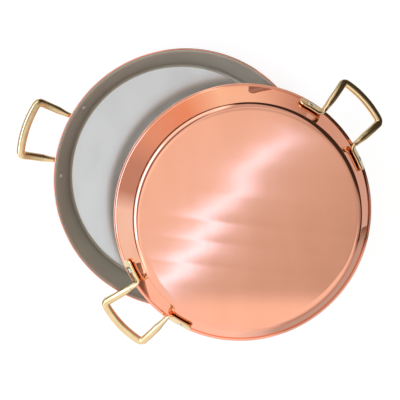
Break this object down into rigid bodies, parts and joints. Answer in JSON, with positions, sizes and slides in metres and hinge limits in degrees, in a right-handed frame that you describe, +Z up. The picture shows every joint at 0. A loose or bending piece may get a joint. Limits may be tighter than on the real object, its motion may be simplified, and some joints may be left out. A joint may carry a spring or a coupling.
{
  "type": "copper pan pair",
  "caption": "Pair of shallow round copper pans with steel linings and brass loop handles, one laid upside down on the other as its cover.",
  "frame": {"origin": "centre of the underside of the lower pan, on the surface it stands on", "axes": "+Z up; +X along the line through the lower pan's two handles, towards its right handle, which the upper pan covers"},
  "size_m": [0.3677, 0.318, 0.0723],
  "materials": {
    "copper": "polished copper, with fine turning marks on the base",
    "lining_steel": "satin, grey",
    "brass": "cast and polished",
    "rivet_steel": "hammered bright heads"
  },
  "bodies": {
    "lower_pan": {"lower_copper_shell": "copper", "lower_steel_lining": "lining_steel", "lower_handle_right": "brass", "lower_handle_left": "brass", "lower_rivet_right_a": "rivet_steel", "lower_rivet_right_b": "rivet_steel", "lower_rivet_left_a": "rivet_steel", "lower_rivet_left_b": "rivet_steel"},
    "upper_pan": {"upper_copper_shell": "copper", "upper_steel_lining": "lining_steel", "upper_handle_right": "brass", "upper_handle_left": "brass", "upper_rivet_right_a": "rivet_steel", "upper_rivet_right_b": "rivet_steel", "upper_rivet_left_a": "rivet_steel", "upper_rivet_left_b": "rivet_steel"}
  },
  "joints": [
    {"name": "upper_pan_lift", "type": "slide", "parent": "lower_pan", "child": "upper_pan", "axis": [0, 0, 1], "range_m": [0, 0.12]}
  ]
}
